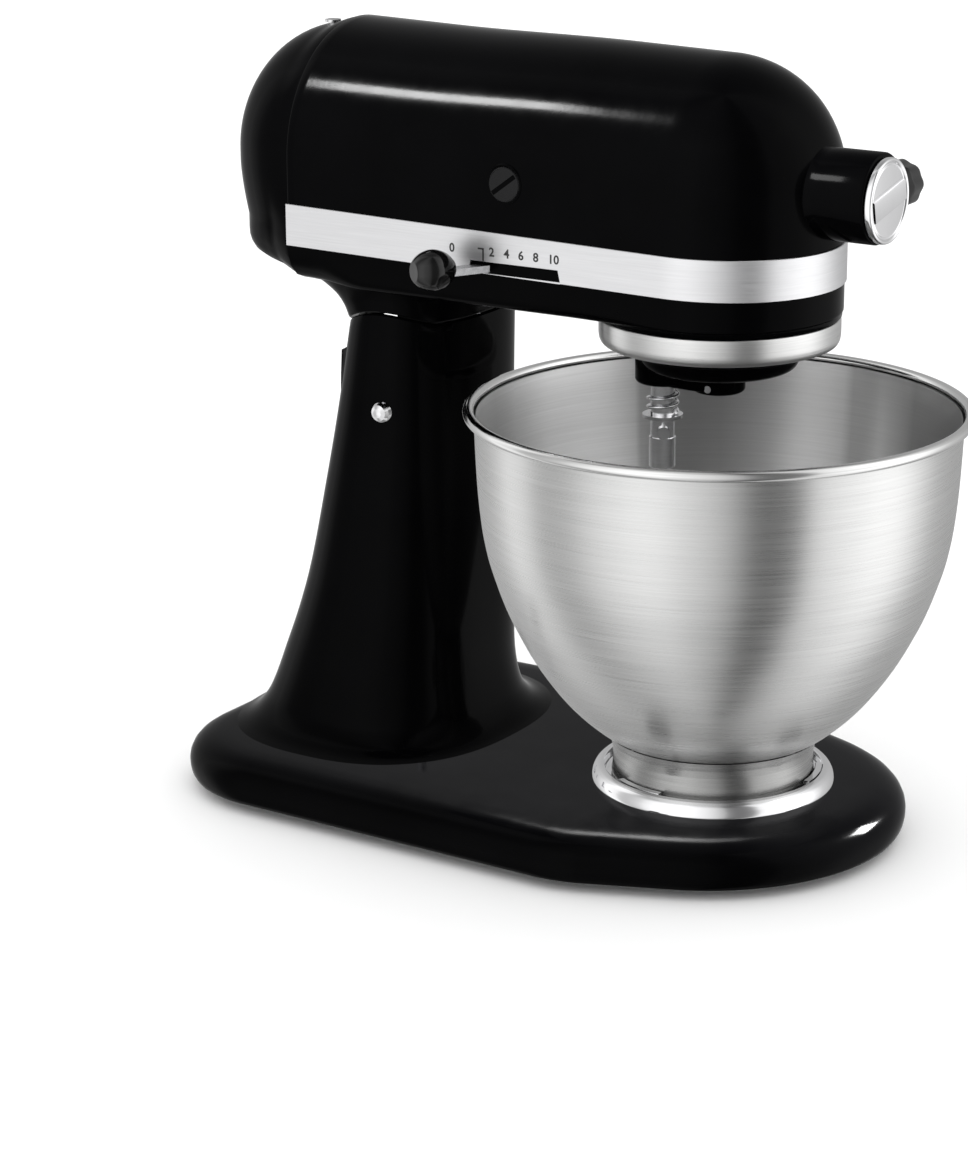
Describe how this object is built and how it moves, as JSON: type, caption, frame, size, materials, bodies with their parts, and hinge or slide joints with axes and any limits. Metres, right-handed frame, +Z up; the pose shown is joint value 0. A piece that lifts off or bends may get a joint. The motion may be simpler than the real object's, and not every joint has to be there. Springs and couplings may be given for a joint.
{
  "type": "stand mixer",
  "caption": "Tilt-head stand mixer with a twist-lock steel bowl, orbiting beater shaft, front attachment hub, speed lever, head lock, and the motor and gears inside.",
  "frame": {"origin": "under the middle of the mixer's bounding box, on the surface its feet stand on", "axes": "+X towards the attachment hub and bowl, +Z up, +Y towards the head lock; the speed lever is on -Y"},
  "size_m": [0.357, 0.221, 0.3497],
  "materials": {
    "black_enamel": "deep gloss enamel on die-cast metal",
    "rubber_feet": "matt rubber",
    "cord_rubber": "matt rubber",
    "fasteners": "zinc-plated steel",
    "chrome_trim": "polished",
    "bright_steel": "bright",
    "lever_steel": "polished",
    "knob_black": "gloss moulded",
    "stainless": "spun and brushed, polished rim",
    "satin_metal": "brushed bright band",
    "satin_ring": "satin",
    "planetary_black": "gloss enamel",
    "shaft_steel": "turned",
    "cap_black": "moulded",
    "brass_parts": "plain",
    "bronze_parts": "sintered bronze",
    "carbon": "carbon",
    "inner_steel": "machined",
    "inner_aluminium": "cast",
    "copper": "enamelled copper",
    "wheel_bronze": "machined",
    "board": "phenolic"
  },
  "bodies": {
    "stand": {"base": "black_enamel", "column": "black_enamel", "feet": "rubber_feet", "column_screws": "fasteners", "column_washers": "fasteners", "clamp_plate": "chrome_trim", "clamp_screws": "bright_steel", "hinge_pin": "bright_steel", "pin_set_screw": "fasteners", "height_screw": "fasteners"},
    "lock": {"lock_shaft": "inner_steel", "lock_lever": "lever_steel", "lock_knob": "knob_black"},
    "bowl": {"bowl": "stainless", "bowl_foot": "stainless"},
    "head": {"head_shell": "black_enamel", "gearcase": "black_enamel", "end_cover": "black_enamel", "end_cover_screw": "bright_steel", "trim_band": "satin_metal", "drip_ring": "satin_ring", "ring_gear": "copper", "case_screws": "fasteners", "hub_bush": "bronze_parts", "brush_holders": "brass_parts", "brush_caps": "cap_black", "brushes": "carbon", "brush_springs": "inner_steel", "stator": "inner_steel", "field_coils": "copper", "motor_bearings": "inner_steel", "rear_bracket": "inner_aluminium", "control_plate": "board", "cord_gland": "cord_rubber", "wheel_bearings": "bronze_parts"},
    "armature": {"armature_shaft": "inner_steel", "worm": "inner_steel", "armature_core": "copper", "commutator": "copper", "fan": "inner_aluminium", "governor": "inner_steel"},
    "wheel": {"worm_wheel": "wheel_bronze"},
    "planetary": {"centre_gear": "copper", "planetary": "planetary_black", "planetary_pin": "bright_steel"},
    "beater_shaft": {"beater_shaft": "shaft_steel", "drive_pinion": "copper", "cross_pin": "bright_steel", "shaft_washer": "bright_steel", "shaft_spring": "bright_steel"},
    "hub_drive": {"hub_gear": "inner_steel", "hub_socket": "inner_steel"},
    "hub_cap": {"hub_cap": "chrome_trim"},
    "hub_knob": {"hub_screw": "bright_steel", "hub_knob": "knob_black"},
    "speed_lever": {"speed_arm": "lever_steel", "speed_knob": "knob_black", "speed_cam": "inner_steel"}
  },
  "joints": [
    {"name": "head_tilt", "type": "hinge", "parent": "stand", "child": "head", "pos_m": [-0.0765, 0, 0.1829], "axis": [0, -1, 0], "range_deg": [0, 45]},
    {"name": "lock_turn", "type": "hinge", "parent": "stand", "child": "lock", "pos_m": [-0.088, 0, 0.1954], "axis": [0, 1, 0], "range_deg": [-75, 0]},
    {"name": "bowl_twist", "type": "hinge", "parent": "stand", "child": "bowl", "pos_m": [0.068, 0, 0], "axis": [0, 0, 1], "range_deg": [0, 32]},
    {"name": "armature_spin", "type": "hinge", "parent": "head", "child": "armature", "pos_m": [0, 0, 0.2929], "axis": [1, 0, 0], "continuous": true},
    {"name": "wheel_spin", "type": "hinge", "parent": "head", "child": "wheel", "pos_m": [0.0368, 0.025, 0], "axis": [0, 0, 1], "continuous": true},
    {"name": "planetary_spin", "type": "hinge", "parent": "head", "child": "planetary", "pos_m": [0.068, 0, 0], "axis": [0, 0, 1], "continuous": true},
    {"name": "beater_spin", "type": "hinge", "parent": "planetary", "child": "beater_shaft", "pos_m": [0.04787, -0.01307, 0], "axis": [0, 0, 1], "continuous": true},
    {"name": "hub_spin", "type": "hinge", "parent": "head", "child": "hub_drive", "pos_m": [0, 0, 0.2929], "axis": [1, 0, 0], "continuous": true},
    {"name": "hub_cap_pull", "type": "slide", "parent": "head", "child": "hub_cap", "axis": [1, 0, 0], "range_m": [0, 0.03]},
    {"name": "hub_knob_turn", "type": "hinge", "parent": "head", "child": "hub_knob", "pos_m": [0.134, 0, 0.2929], "axis": [0, 1, 0], "range_deg": [0, 720]},
    {"name": "speed_lever", "type": "hinge", "parent": "head", "child": "speed_lever", "pos_m": [-0.0025, -0.0286, 0], "axis": [0, 0, 1], "range_deg": [0, 57]}
  ],
  "couplings": [
    {"joint": "wheel_spin", "follows": "armature_spin", "ratio": -0.027778},
    {"joint": "planetary_spin", "follows": "armature_spin", "ratio": 0.0069444},
    {"joint": "beater_spin", "follows": "armature_spin", "ratio": -0.020833},
    {"joint": "hub_spin", "follows": "armature_spin", "ratio": 0.016667}
  ]
}
